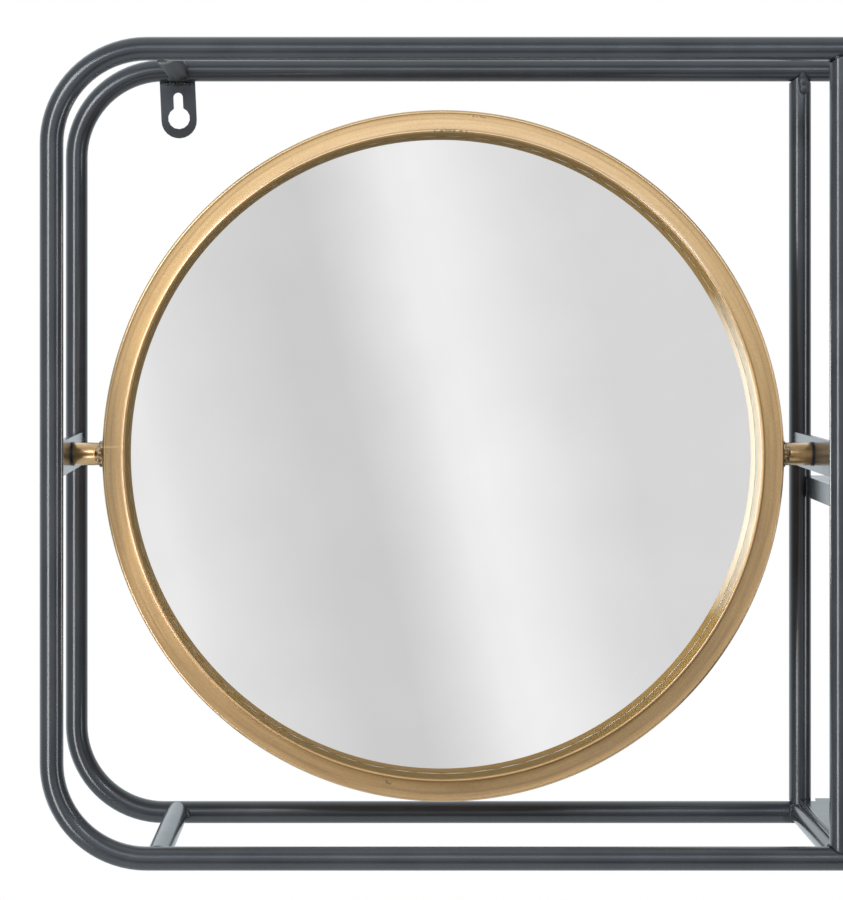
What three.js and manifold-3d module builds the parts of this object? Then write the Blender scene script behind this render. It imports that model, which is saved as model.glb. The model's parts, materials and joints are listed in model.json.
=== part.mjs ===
// Wall rack of round steel tube: a round tilting mirror in the left bay, two shelves in the right bay.
// Millimetres, +X to the right, +Y back to the wall, +Z up.
// The origin lies on the wall plane, midway between the two screws that the rack hangs on.
import * as THREE from "three";
import { mergeVertices } from "three/addons/utils/BufferGeometryUtils.js";
import Module from "manifold-3d";

// Rack
const rackWidth = 650;
const rackHeight = 420;
const rackDepth = 140;
const tubeDiameter = 12;
const tubeWall = 1.2;
const bendRadius = 48; // to the tube's centre line
const mirrorBay = 398; // left end tube to the uprights, centre to centre
const crossInset = 55.5; // end tubes to the nearest cross tubes, centre to centre
const seamDrop = 3; // the loops' butt joint, below the middle of the end tube
const weldGap = 0.3; // between the faces of two pieces that touch

// Pivots
const pivotDrop = 3.5; // pivot axis below the middle of the rack
const barHeight = 18;
const barThickness = 3;
const barInset = 4; // a bar's mirror side, from the centre of the tubes it joins
const stubDiameter = 12;
const stubBoreDepth = 11;
const frictionWasherDiameter = 13;
const frictionWasherThickness = 0.5;
const pivotScrewDiameter = 6;
const pivotScrewReach = 10; // thread inside the stub
const screwHeadDiameter = 10.5;
const screwHeadHeight = 3.3;
const socketAcrossCorners = 4.6; // the screw's hexagon socket
const socketDepth = 2;
const springWasherDiameter = 11;
const springWasherThickness = 1.5;
const springWasherSlit = 0.8;
const screwClearance = 0.3; // on the radius, in every hole that a screw passes

// Mirror
const ringWidth = 356; // outside, across the pivots
const ringOval = 1.013; // the rolled ring stands a little taller than it is wide
const ringFace = 12;
const ringDepth = 30;
const ringWall = 1.5;
const ringLip = 2.6; // round edges of the ring's face
const glassRecess = 20; // front of the ring to the front of the glass
const glassThickness = 3;
const boardThickness = 3;
const glassPlay = 1; // glass and board to the ring's wall
const tapeThickness = 0.8;
const restTilt = 1.9; // degrees, the glass faces slightly up
const clipCount = 6;
const clipWidth = 12;
const clipReach = 16;
const clipThickness = 1.2;
const clipScrewDiameter = 2.6;
const clipScrewHead = 6;
const clipScrewHeadHeight = 1.6;
const clipScrewInset = 10; // from the clip's outer end

// Shelves
const sheetThickness = 1.2;
const shelfDrop = 19; // top of the middle shelf below the middle of the rack
const shelfLip = 11.3;
const shelfInset = 3; // the middle shelf's ends, from the centres of the tubes beside them
const shelfSetback = 1; // the middle shelf's long edges, inside the front and the back of the rack
const shelfNotchPlay = 0.5;
const bottomOverhang = 2; // the bottom sheet's ends, past the centres of the cross tubes
const bottomEdgeReach = 1; // the bottom sheet's long edges, past the centres of the rails
const bottomNotchPlay = 2.5;

// Hangers
const hangerWidth = 19.5;
const hangerThickness = 2;
const hangerDrop = 31; // below the underside of the top rail
const slotWidth = 5.2;
const hangPointDrop = 8.4; // centre of the slot's round top, below the underside of the rail
const keyholeDiameter = 12;
const keyholeDrop = 11.5; // hole centre below the hang point
const hangerLean = 2.6; // degrees, the left hanger is welded a little out of plumb

// Facets
const tubeSides = 16;
const bendSteps = 6;
const ringSides = 72;
const lipSteps = 3;
const smallSides = 20;

// Where the tubes run, with the middle of the rack at Z 0
const tubeRadius = tubeDiameter / 2;
const endX = (rackWidth - tubeDiameter) / 2;
const railZ = (rackHeight - tubeDiameter) / 2;
const frontY = tubeRadius - rackDepth;
const rearY = -tubeRadius;
const uprightX = mirrorBay - endX;
const crossX = endX - crossInset;
const pivotY = (frontY + rearY) / 2;
const hangZ = railZ - tubeRadius - hangPointDrop;

const wasm = await Module();
wasm.setup();

const steelPaint = new THREE.MeshStandardMaterial({ color: 0x4c5155, roughness: 0.35, metalness: 0.2 });
const goldPaint = new THREE.MeshStandardMaterial({ color: 0xc99c5c, roughness: 0.4, metalness: 0.7 });
const zincPlate = new THREE.MeshStandardMaterial({ color: 0xb9bcbf, roughness: 0.3, metalness: 1 });
const blackNylon = new THREE.MeshStandardMaterial({ color: 0x1b1917, roughness: 0.6, metalness: 0 });
const silveredGlass = new THREE.MeshStandardMaterial({ color: 0xe8eaea, roughness: 0.02, metalness: 1 });
const brownBoard = new THREE.MeshStandardMaterial({ color: 0x8d6f4c, roughness: 0.9, metalness: 0 });
const whiteFoam = new THREE.MeshStandardMaterial({ color: 0xe6e4dd, roughness: 0.95, metalness: 0 });

const rack = new THREE.Group();
rack.position.set(0, 0, -hangZ);

// A named mesh, put in a group.
function piece(group, name, geometry, material) {
  const mesh = new THREE.Mesh(geometry, material);
  mesh.name = name;
  group.add(mesh);
  return mesh;
}

// A closed geometry as a solid that can be cut.
function toSolid(geometry) {
  const bare = geometry.clone();
  bare.deleteAttribute("normal");
  bare.deleteAttribute("uv");
  const merged = mergeVertices(bare, 1e-4);
  const vertProperties = new Float32Array(merged.attributes.position.array);
  const triVerts = new Uint32Array(merged.index.array);
  return new wasm.Manifold(new wasm.Mesh({ numProp: 3, vertProperties, triVerts }));
}

// One geometry with others cut away.
function cutAway(geometry, cutters) {
  const left = cutters.reduce((solid, cutter) => solid.subtract(toSolid(cutter)), toSolid(geometry));
  const mesh = left.getMesh();
  const cut = new THREE.BufferGeometry();
  cut.setAttribute("position", new THREE.BufferAttribute(mesh.vertProperties, 3));
  cut.setIndex(new THREE.BufferAttribute(mesh.triVerts, 1));
  return cut;
}

// Tubes -------------------------------------------------------------------------------------------

// Straight runs joined by quarter bends in an upright plane, with points only where the tube turns.
class BentRoute extends THREE.Curve {
  constructor(stops, radius) {
    super();
    const heading = (from, to) => to.clone().sub(from).normalize();
    this.points = [stops[0]];
    this.tangents = [heading(stops[0], stops[1])];
    for (let i = 1; i < stops.length - 1; i++) {
      const into = heading(stops[i - 1], stops[i]);
      const out = heading(stops[i], stops[i + 1]);
      const centre = stops[i].clone().addScaledVector(into, -radius).addScaledVector(out, radius);
      for (let step = 0; step <= bendSteps; step++) {
        const along = Math.sin((step / bendSteps) * (Math.PI / 2));
        const across = Math.cos((step / bendSteps) * (Math.PI / 2));
        const point = centre.clone().addScaledVector(into, radius * along);
        this.points.push(point.addScaledVector(out, -radius * across));
        this.tangents.push(into.clone().multiplyScalar(across).addScaledVector(out, along));
      }
    }
    this.points.push(stops.at(-1));
    this.tangents.push(heading(stops.at(-2), stops.at(-1)));
  }

  getSpacedPoints() {
    return this.points;
  }

  computeFrenetFrames() {
    const back = new THREE.Vector3(0, 1, 0);
    const normals = this.tangents.map((tangent) => new THREE.Vector3().crossVectors(back, tangent));
    return { tangents: this.tangents, normals, binormals: this.tangents.map(() => back) };
  }
}

// A round section with a bore.
function roundSection(radius, boreRadius) {
  const section = new THREE.Shape().absarc(0, 0, radius, 0, 2 * Math.PI);
  section.holes.push(new THREE.Path().absarc(0, 0, boreRadius, 0, 2 * Math.PI));
  return section;
}

// A section swept round a loop: up the left end, round the four bends, and back to the butt joint.
function sweptLoop(section, y) {
  const at = (x, z) => new THREE.Vector3(x, y, z);
  const stops = [
    at(-endX, weldGap / 2 - seamDrop),
    at(-endX, railZ),
    at(endX, railZ),
    at(endX, -railZ),
    at(-endX, -railZ),
    at(-endX, -weldGap / 2 - seamDrop),
  ];
  const route = new BentRoute(stops, bendRadius);
  return new THREE.ExtrudeGeometry(section, {
    steps: route.points.length - 1,
    extrudePath: route,
    curveSegments: tubeSides / 2,
  });
}

// The space that a loop takes, with the gap that its neighbours keep.
function loopSpace(y) {
  return sweptLoop(new THREE.Shape().absarc(0, 0, tubeRadius + weldGap, 0, 2 * Math.PI), y);
}

// The space that an upright tube takes, with the gap that its neighbours keep.
function uprightSpace(x, y) {
  const radius = tubeRadius + weldGap;
  const space = new THREE.CylinderGeometry(radius, radius, rackHeight, 2 * tubeSides);
  return space.rotateX(Math.PI / 2).translate(x, y, 0);
}

// A straight tube between two points, coped at its ends to the tubes that it meets.
function straightTube(name, from, to, meets) {
  const route = new THREE.LineCurve3(from, to);
  const blank = new THREE.ExtrudeGeometry(roundSection(tubeRadius, tubeRadius - tubeWall), {
    steps: 1,
    extrudePath: route,
    curveSegments: tubeSides / 2,
  });
  piece(rack, name, cutAway(blank, meets), steelPaint);
}

for (const [place, y] of [["front", frontY], ["rear", rearY]]) {
  const tube = sweptLoop(roundSection(tubeRadius, tubeRadius - tubeWall), y);
  piece(rack, `${place}_loop_tube`, tube, steelPaint);
  const foot = new THREE.Vector3(uprightX, y, -railZ);
  const head = new THREE.Vector3(uprightX, y, railZ);
  straightTube(`${place}_upright`, foot, head, [loopSpace(y)]);
}

const crossTubes = [
  ["cross_tube_top_left", -crossX, railZ],
  ["cross_tube_top_right", crossX, railZ],
  ["cross_tube_bottom_left", -crossX, -railZ],
  ["cross_tube_bottom_right", crossX, -railZ],
  ["cross_tube_bottom_middle", uprightX, -railZ],
];
for (const [name, x, z] of crossTubes) {
  const front = new THREE.Vector3(x, frontY, z);
  const rear = new THREE.Vector3(x, rearY, z);
  const meets = [loopSpace(frontY), loopSpace(rearY)];
  if (x === uprightX) meets.push(uprightSpace(x, frontY), uprightSpace(x, rearY));
  straightTube(name, front, rear, meets);
}

// Shelves -----------------------------------------------------------------------------------------

// A rectangle in plan with square notches at the corners that a tube stands in.
function notchedPlan(left, right, front, rear, notch) {
  const plan = new THREE.Shape();
  plan.moveTo(left + notch.left, front);
  plan.lineTo(right - notch.right, front);
  plan.lineTo(right - notch.right, front + notch.deep);
  plan.lineTo(right, front + notch.deep);
  plan.lineTo(right, rear - notch.deep);
  plan.lineTo(right - notch.right, rear - notch.deep);
  plan.lineTo(right - notch.right, rear);
  plan.lineTo(left + notch.left, rear);
  plan.lineTo(left + notch.left, rear - notch.deep);
  plan.lineTo(left, rear - notch.deep);
  plan.lineTo(left, front + notch.deep);
  plan.lineTo(left + notch.left, front + notch.deep);
  return plan;
}

// The middle shelf: a sheet with its four edges folded down, notched round the four tubes.
function middleShelf() {
  const left = uprightX + shelfInset;
  const right = endX - shelfInset;
  const front = shelfSetback - rackDepth;
  const rear = -shelfSetback;
  const corner = tubeRadius + shelfNotchPlay;
  const plan = notchedPlan(left, right, front, rear, {
    left: corner - shelfInset,
    right: corner - shelfInset,
    deep: tubeDiameter - shelfSetback + shelfNotchPlay,
  });
  const block = new THREE.ExtrudeGeometry(plan, { depth: shelfLip, bevelEnabled: false });
  const inside = new THREE.BoxGeometry(
    right - left - 2 * sheetThickness,
    rear - front - 2 * sheetThickness,
    2 * (shelfLip - sheetThickness),
  );
  inside.translate((left + right) / 2, (front + rear) / 2, 0);
  const tray = piece(rack, "middle_shelf", cutAway(block, [inside]), steelPaint);
  tray.position.z = -shelfDrop - shelfLip;
}

// The bottom shelf: a flat sheet that lies on the bottom rails and their cross tubes.
function bottomShelf() {
  const left = uprightX - bottomOverhang;
  const right = crossX + bottomOverhang;
  const front = frontY - bottomEdgeReach;
  const rear = rearY + bottomEdgeReach;
  const plan = notchedPlan(left, right, front, rear, {
    left: tubeRadius + bottomNotchPlay + bottomOverhang,
    right: weldGap,
    deep: tubeRadius + bottomNotchPlay + bottomEdgeReach,
  });
  const geometry = new THREE.ExtrudeGeometry(plan, { depth: sheetThickness, bevelEnabled: false });
  const sheet = piece(rack, "bottom_shelf", geometry, steelPaint);
  sheet.position.z = -railZ + tubeRadius + weldGap;
}

middleShelf();
bottomShelf();

// Hangers -----------------------------------------------------------------------------------------

// A keyhole plate drawn round its hang point, its back on the wall plane.
function hangerPlate() {
  const half = hangerWidth / 2;
  const top = hangPointDrop + tubeRadius;
  const plate = new THREE.Shape();
  plate.moveTo(half, top);
  plate.lineTo(-half, top);
  plate.absarc(0, half - (hangerDrop - hangPointDrop), half, Math.PI, 2 * Math.PI);
  const slotRadius = slotWidth / 2;
  const holeRadius = keyholeDiameter / 2;
  const shoulder = Math.acos(slotRadius / holeRadius);
  const keyhole = new THREE.Path();
  keyhole.absarc(0, 0, slotRadius, 0, Math.PI);
  keyhole.absarc(0, -keyholeDrop, holeRadius, Math.PI - shoulder, 2 * Math.PI + shoulder);
  plate.holes.push(keyhole);
  const geometry = new THREE.ExtrudeGeometry(plate, {
    depth: hangerThickness,
    bevelEnabled: false,
    curveSegments: 6,
  });
  return geometry.rotateX(Math.PI / 2);
}

for (const [name, x, lean] of [["hanger_left", -crossX, -hangerLean], ["hanger_right", crossX, 0]]) {
  const geometry = hangerPlate().rotateY(THREE.MathUtils.degToRad(lean));
  geometry.translate(x, 0, hangZ);
  piece(rack, name, cutAway(geometry, [loopSpace(rearY)]), steelPaint);
}

// Pivots ------------------------------------------------------------------------------------------

// A solid turned round the X axis, from [radius, x] pairs that start and end on the axis.
function turned(profile, sides) {
  const points = profile.map(([radius, x]) => new THREE.Vector2(radius, x));
  return new THREE.LatheGeometry(points, sides).rotateZ(-Math.PI / 2);
}

// A round washer between two places on the X axis.
function washer(outerRadius, innerRadius, from, to) {
  const section = [[innerRadius, from], [outerRadius, from], [outerRadius, to], [innerRadius, to]];
  return turned([...section, section[0]], smallSides);
}

// A split washer: an arc of flat bar with a slit.
function springWasher(outerRadius, innerRadius, from, to) {
  const slit = springWasherSlit / 2 / innerRadius;
  const coil = new THREE.Shape().absarc(0, 0, outerRadius, slit, 2 * Math.PI - slit);
  coil.absarc(0, 0, innerRadius, 2 * Math.PI - slit, slit, true);
  const geometry = new THREE.ExtrudeGeometry(coil, {
    depth: to - from,
    bevelEnabled: false,
    curveSegments: smallSides / 2,
  });
  return geometry.translate(0, 0, from).rotateY(Math.PI / 2);
}

// A button head screw, its thread pointing to -X, with its head's underside at a given X.
function buttonScrew(headStart, threadLength) {
  const threadRadius = pivotScrewDiameter / 2;
  const headRadius = screwHeadDiameter / 2;
  const blank = turned([
    [0, headStart - threadLength],
    [threadRadius, headStart - threadLength],
    [threadRadius, headStart],
    [headRadius, headStart],
    [headRadius, headStart + screwHeadHeight * 0.3],
    [headRadius * 0.8, headStart + screwHeadHeight * 0.8],
    [headRadius * 0.5, headStart + screwHeadHeight],
    [0, headStart + screwHeadHeight],
  ], smallSides);
  const socketRadius = socketAcrossCorners / 2;
  const socket = new THREE.CylinderGeometry(socketRadius, socketRadius, 2 * socketDepth, 6);
  socket.rotateZ(Math.PI / 2).translate(headStart + screwHeadHeight, 0, 0);
  return cutAway(blank, [socket]);
}

// Places along the pivot axis, from the middle of the mirror bay outwards
const ringRadius = ringWidth / 2;
const barInner = mirrorBay / 2 - barInset;
const barOuter = barInner + barThickness;
const frictionOuter = barInner - weldGap;
const frictionInner = frictionOuter - frictionWasherThickness;
const stubInner = ringRadius + weldGap;
const stubOuter = frictionInner - weldGap;
const springInner = barOuter + weldGap;
const springOuter = springInner + springWasherThickness;
const headInner = springOuter + weldGap;
const screwHoleRadius = pivotScrewDiameter / 2 + screwClearance;
const threadLength = headInner - (stubOuter - pivotScrewReach);

const pivotPlace = new THREE.Vector3((uprightX - endX) / 2, pivotY, -pivotDrop);
const barGroup = new THREE.Group();
barGroup.position.copy(pivotPlace);
rack.add(barGroup);

const mirror = new THREE.Group();
mirror.position.copy(pivotPlace);
mirror.rotation.x = THREE.MathUtils.degToRad(-restTilt);
rack.add(mirror);

// A flat bar from the front tube to the rear tube, coped to both, with a hole for the pivot screw.
function pivotBar(side) {
  const blank = new THREE.BoxGeometry(barThickness, rearY - frontY, barHeight);
  blank.translate((barInner + barOuter) / 2, 0, 0);
  const hole = new THREE.CylinderGeometry(screwHoleRadius, screwHoleRadius, 4 * barThickness, smallSides);
  hole.rotateZ(Math.PI / 2).translate(barOuter, 0, 0);
  const reach = (rearY - frontY) / 2;
  const tubes = [-reach, reach].map((y) => uprightSpace(mirrorBay / 2, y));
  const bar = cutAway(blank, [hole, ...tubes]);
  return side > 0 ? bar : bar.rotateZ(Math.PI);
}

for (const [hand, side] of [["left", -1], ["right", 1]]) {
  const facing = (geometry) => (side > 0 ? geometry : geometry.rotateZ(Math.PI));
  piece(barGroup, `pivot_bar_${hand}`, pivotBar(side), steelPaint);

  const stubRadius = stubDiameter / 2;
  const stub = turned([
    [0, stubInner],
    [stubRadius, stubInner],
    [stubRadius, stubOuter],
    [screwHoleRadius, stubOuter],
    [screwHoleRadius, stubOuter - stubBoreDepth],
    [0, stubOuter - stubBoreDepth],
  ], smallSides);
  piece(mirror, `pivot_stub_${hand}`, facing(stub), goldPaint);

  const friction = washer(frictionWasherDiameter / 2, screwHoleRadius, frictionInner, frictionOuter);
  piece(mirror, `friction_washer_${hand}`, facing(friction), blackNylon);

  const spring = springWasher(springWasherDiameter / 2, screwHoleRadius, springInner, springOuter);
  piece(mirror, `spring_washer_${hand}`, facing(spring), zincPlate);

  piece(mirror, `pivot_screw_${hand}`, facing(buttonScrew(headInner, threadLength)), zincPlate);
}

// Mirror ------------------------------------------------------------------------------------------

// Places through the mirror, from the middle of the ring's depth to the wall
const ringFront = -ringDepth / 2;
const ringRear = ringDepth / 2;
const glassFront = ringFront + glassRecess;
const glassRear = glassFront + glassThickness;
const tapeRear = glassFront - weldGap;
const tapeFront = tapeRear - tapeThickness;
const innerWallRear = tapeFront - weldGap;
const boardFront = glassRear + weldGap;
const boardRear = boardFront + boardThickness;
const clipFront = boardRear + weldGap;
const clipRear = clipFront + clipThickness;
const seatRadius = ringRadius - ringWall - glassPlay;
const sightRadius = ringRadius - ringFace;

// A solid turned round the ring's own axis and stretched to the ring's oval.
function ovalTurned(profile) {
  const points = profile.map(([radius, y]) => new THREE.Vector2(radius, y));
  return new THREE.LatheGeometry(points, ringSides).scale(1, 1, ringOval);
}

// A quarter round of the ring's face, as [radius, y] pairs.
function lip(centreRadius, centreY, startTurn) {
  const points = [];
  for (let step = 0; step <= lipSteps; step++) {
    const turn = startTurn - (step / lipSteps) * (Math.PI / 2);
    points.push([centreRadius + ringLip * Math.cos(turn), centreY + ringLip * Math.sin(turn)]);
  }
  return points;
}

// The ring: a channel rolled into a hoop, open to the back, its inner wall shorter than its outer.
const channel = [
  [ringRadius, ringRear],
  ...lip(ringRadius - ringLip, ringFront + ringLip, 0),
  ...lip(sightRadius + ringLip, ringFront + ringLip, -Math.PI / 2),
  [sightRadius, innerWallRear],
  [sightRadius + ringWall, innerWallRear],
  [sightRadius + ringWall, ringFront + ringLip],
  [sightRadius + ringLip, ringFront + ringWall],
  [ringRadius - ringLip, ringFront + ringWall],
  [ringRadius - ringWall, ringFront + ringLip],
  [ringRadius - ringWall, ringRear],
  [ringRadius, ringRear],
];
piece(mirror, "mirror_ring", ovalTurned(channel.reverse()), goldPaint);

const tapeInner = sightRadius + weldGap;
const tape = [
  [tapeInner, tapeFront],
  [seatRadius, tapeFront],
  [seatRadius, tapeRear],
  [tapeInner, tapeRear],
  [tapeInner, tapeFront],
];
piece(mirror, "glazing_tape", ovalTurned(tape), whiteFoam);

const pane = [[0, glassFront], [seatRadius, glassFront], [seatRadius, glassRear], [0, glassRear]];
piece(mirror, "mirror_glass", ovalTurned(pane), silveredGlass);

// Where a clip's screw stands: its angle round the ring, and its place on the oval.
const clipTurns = Array.from({ length: clipCount }, (_, index) => ((index + 0.5) / clipCount) * 2 * Math.PI);
const clipOuter = ringRadius - ringWall - 2 * weldGap;
const clipHoleRadius = clipScrewDiameter / 2 + screwClearance;

// Turns a piece made at the top of the ring round to its place, along the oval.
function roundTheRing(geometry, turn) {
  const reach = clipOuter - clipScrewInset;
  const shiftZ = Math.cos(turn) * reach * (ringOval - 1);
  return geometry.rotateY(turn).translate(0, 0, shiftZ);
}

// The backing board: a disc with a pilot hole for each clip's screw.
function backingBoard() {
  const disc = [[0, boardFront], [seatRadius, boardFront], [seatRadius, boardRear], [0, boardRear]];
  const holes = clipTurns.map((turn) => {
    const hole = new THREE.CylinderGeometry(clipHoleRadius, clipHoleRadius, 3 * boardThickness, 12);
    hole.translate(0, (boardFront + boardRear) / 2, clipOuter - clipScrewInset);
    return roundTheRing(hole, turn);
  });
  return cutAway(ovalTurned(disc), holes);
}
piece(mirror, "backing_board", backingBoard(), brownBoard);

// A clip: a flat tongue with a round inner end and a screw hole, its outer end against the ring's wall.
function clip() {
  const half = clipWidth / 2;
  const cornerRelief = half * half / (2 * ringRadius); // the wall curves in beside the clip's middle
  const outer = clipOuter - cornerRelief;
  const tongue = new THREE.Shape();
  tongue.moveTo(half, outer);
  tongue.lineTo(-half, outer);
  tongue.absarc(0, clipOuter - clipReach + half, half, Math.PI, 2 * Math.PI);
  const hole = new THREE.Path().absarc(0, clipOuter - clipScrewInset, clipHoleRadius, 0, 2 * Math.PI);
  tongue.holes.push(hole);
  const plate = new THREE.ExtrudeGeometry(tongue, {
    depth: clipThickness,
    bevelEnabled: false,
    curveSegments: 6,
  });
  return plate.rotateX(Math.PI / 2).translate(0, clipRear, 0);
}

// A pan head wood screw through the clip into the board, at the top of the ring.
function clipScrew() {
  const shank = clipScrewDiameter / 2;
  const head = clipScrewHead / 2;
  const tip = boardFront + weldGap;
  const seat = clipRear + weldGap;
  const profile = [
    [0, tip],
    [shank, tip + shank],
    [shank, seat],
    [head, seat],
    [head * 0.9, seat + clipScrewHeadHeight * 0.7],
    [head * 0.5, seat + clipScrewHeadHeight],
    [0, seat + clipScrewHeadHeight],
  ];
  const points = profile.map(([radius, y]) => new THREE.Vector2(radius, y));
  return new THREE.LatheGeometry(points, 12).translate(0, 0, clipOuter - clipScrewInset);
}

clipTurns.forEach((turn, index) => {
  piece(mirror, `board_clip_${index + 1}`, roundTheRing(clip(), turn), zincPlate);
  piece(mirror, `clip_screw_${index + 1}`, roundTheRing(clipScrew(), turn), zincPlate);
});

export default rack;
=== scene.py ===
# %% [markdown]
# # A steel wall rack with a round tilting mirror
# This file dresses a finished steel-tube wall rack: two bent loops, uprights, shelves and a gold ringed
# mirror that tilts on two pivots. The sizes come from the frame, so every piece lands where it belongs.

import json
import math

import bpy
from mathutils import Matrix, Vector

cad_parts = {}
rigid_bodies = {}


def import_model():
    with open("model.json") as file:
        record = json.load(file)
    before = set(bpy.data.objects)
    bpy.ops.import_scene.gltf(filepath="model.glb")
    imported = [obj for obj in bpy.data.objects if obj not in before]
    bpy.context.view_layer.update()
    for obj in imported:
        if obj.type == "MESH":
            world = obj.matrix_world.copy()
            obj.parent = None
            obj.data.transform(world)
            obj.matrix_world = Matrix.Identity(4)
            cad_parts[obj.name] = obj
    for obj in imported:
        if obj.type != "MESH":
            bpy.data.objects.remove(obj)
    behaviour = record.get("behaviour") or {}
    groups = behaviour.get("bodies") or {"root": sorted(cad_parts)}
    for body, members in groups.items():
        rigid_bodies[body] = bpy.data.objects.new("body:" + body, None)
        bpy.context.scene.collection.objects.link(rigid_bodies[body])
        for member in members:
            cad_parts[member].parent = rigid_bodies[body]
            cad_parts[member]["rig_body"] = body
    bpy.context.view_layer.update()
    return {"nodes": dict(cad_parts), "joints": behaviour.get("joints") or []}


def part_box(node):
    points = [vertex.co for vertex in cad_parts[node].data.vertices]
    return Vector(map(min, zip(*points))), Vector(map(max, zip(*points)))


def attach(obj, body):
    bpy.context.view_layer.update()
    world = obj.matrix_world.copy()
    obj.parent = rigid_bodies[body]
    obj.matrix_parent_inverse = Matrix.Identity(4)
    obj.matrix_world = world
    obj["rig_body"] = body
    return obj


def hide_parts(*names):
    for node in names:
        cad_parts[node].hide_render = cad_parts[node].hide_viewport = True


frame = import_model()
nodes = frame["nodes"]

# %% [markdown]
# ## Reading the frame
# A node's box gives its lowest and highest corners, in metres. From a few boxes come the tube's size and
# the planes that the loops lie in. The mirror's pivot is read from the joint.

# %% Places that everything else is worked out from
MM = 0.001
loop_low, loop_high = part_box("front_loop_tube")
rear_low, rear_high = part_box("rear_loop_tube")
tube_radius = (loop_high.y - loop_low.y) / 2
front_y = (loop_low.y + loop_high.y) / 2
rear_y = (rear_low.y + rear_high.y) / 2
left_x = loop_low.x + tube_radius
right_x = loop_high.x - tube_radius
top_z = loop_high.z - tube_radius
bottom_z = loop_low.z + tube_radius
middle_z = (top_z + bottom_z) / 2
pivot = Vector(frame["joints"][0]["pos_m"])
print("tube radius", round(tube_radius / MM, 3), "mm; pivot", [round(v, 4) for v in pivot])

# %% [markdown]
# ## The camera
# The rack is seen square on, from left of the middle and a little above it, so the lens is shifted and
# the uprights stay parallel. The camera stands ten depths away, which flattens the picture.

# %% Camera
# From the left tube to the right, from the front tubes outwards, and from the rack's middle up, in mm.
lens_right, lens_out, lens_up = 150.4, 1387, 73.4
camera_data = bpy.data.cameras.new("rack_camera")
camera = bpy.data.objects.new("rack_camera", camera_data)
bpy.context.scene.collection.objects.link(camera)
camera.location = (left_x + lens_right * MM, front_y - lens_out * MM, middle_z + lens_up * MM)
camera.rotation_euler = (math.pi / 2, 0, 0)
camera_data.sensor_width = 36
camera_data.lens = 110.12
camera_data.shift_x = 0.0794
camera_data.shift_y = -0.1578
bpy.context.scene.camera = camera
print("camera at", [round(v, 4) for v in camera.location])

# %% [markdown]
# ## Colours and shader nodes
# Colours are written as they look on a screen, and a shader works in linear light, so one function turns
# them. Every material below is a short chain of nodes, and one function adds each node. A node's kind is
# written short: Blender's own name for it has ShaderNode in front.


# %% Helpers for materials
def linear(screen_colour):
    """The linear red, green, blue and alpha of a colour such as #3f4648."""
    channels = [int(screen_colour[i : i + 2], 16) / 255 for i in (1, 3, 5)]
    return (*[c / 12.92 if c <= 0.04045 else ((c + 0.055) / 1.055) ** 2.4 for c in channels], 1)


def grey(level):
    """A grey from 0 to 255, written as a colour."""
    return f"#{level:02x}{level:02x}{level:02x}"


def add(tree, kind, settings=(), links=()):
    """Add a node, give its sockets and properties their settings, and link its inputs."""
    node = tree.nodes.new("ShaderNode" + kind)
    for name, value in dict(settings).items():
        if name == "stops":
            ramp = node.color_ramp
            while len(ramp.elements) < len(value):
                ramp.elements.new(0.5)
            for element, (position, colour) in zip(ramp.elements, value):
                element.position = position
                element.color = linear(colour)
        elif isinstance(name, int) or name in node.inputs:
            node.inputs[name].default_value = value
        else:
            setattr(node, name, value)
    for name, socket in dict(links).items():
        tree.links.new(socket, node.inputs[name])
    return node


# %% [markdown]
# ## The studio
# The rack hangs before a bright white sheet. Glossy paint shows whatever stands round it, so the light
# behind the rack is strong and even, and the light on the camera's side is dim with a few bright panels.

# %% Surrounding light
world = bpy.data.worlds.new("white_studio")
bpy.context.scene.world = world
world.use_nodes = True
sky = world.node_tree
sky.nodes.clear()
place = add(sky, "TexCoord")
axes = add(sky, "SeparateXYZ", links={0: place.outputs["Generated"]})

# One row for each direction the room is bright in: the axis, where its glow starts and where it is full,
# and how bright it is before and after.
glows = [
    ("Y", 0.0, 0.6, 0.06, 1.1),
    ("Z", 0.1, 1.0, 0.0, 0.55),
    ("X", 0.3, -0.9, 0.0, 0.55),
]
level = None
for axis, start, full, dim, bright in glows:
    ramp = add(
        sky,
        "MapRange",
        {
            "interpolation_type": "SMOOTHSTEP",
            "From Min": start,
            "From Max": full,
            "To Min": dim,
            "To Max": bright,
        },
        {"Value": axes.outputs[axis]},
    )
    if level:
        ramp = add(sky, "Math", {"operation": "ADD"}, {0: level, 1: ramp.outputs[0]})
    level = ramp.outputs[0]

# The sheet itself is plain white to the eye. Only what it lights is a little cool.
seen_directly = add(sky, "LightPath")
lit_level = add(
    sky,
    "Mix",
    {"data_type": "FLOAT", "B": 1.0},
    {"Factor": seen_directly.outputs["Is Camera Ray"], "A": level},
)
tint = add(
    sky,
    "Mix",
    {"data_type": "RGBA", 6: linear("#eaf4fa"), 7: (1, 1, 1, 1)},
    {"Factor": seen_directly.outputs["Is Camera Ray"]},
)
glow = add(sky, "Background", links={"Color": tint.outputs[2], "Strength": lit_level.outputs[0]})
add(sky, "OutputWorld", links={"Surface": glow.outputs[0]})
bpy.context.scene.view_settings.view_transform = "Standard"
print("world:", len(glows), "glows")

# %% [markdown]
# ## Light panels
# Softboxes stand before the rack on the left and the right, and a broad cool one hangs above. Their long
# reflections are the bright lines along the tubes and the pale and dark quarters of the ring. An area
# light is a softbox: its size sets how wide the line is, and its energy how bright.

# %% Panels
aim = Vector((-0.05, -0.07, middle_z))  # the point that every panel faces


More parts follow.
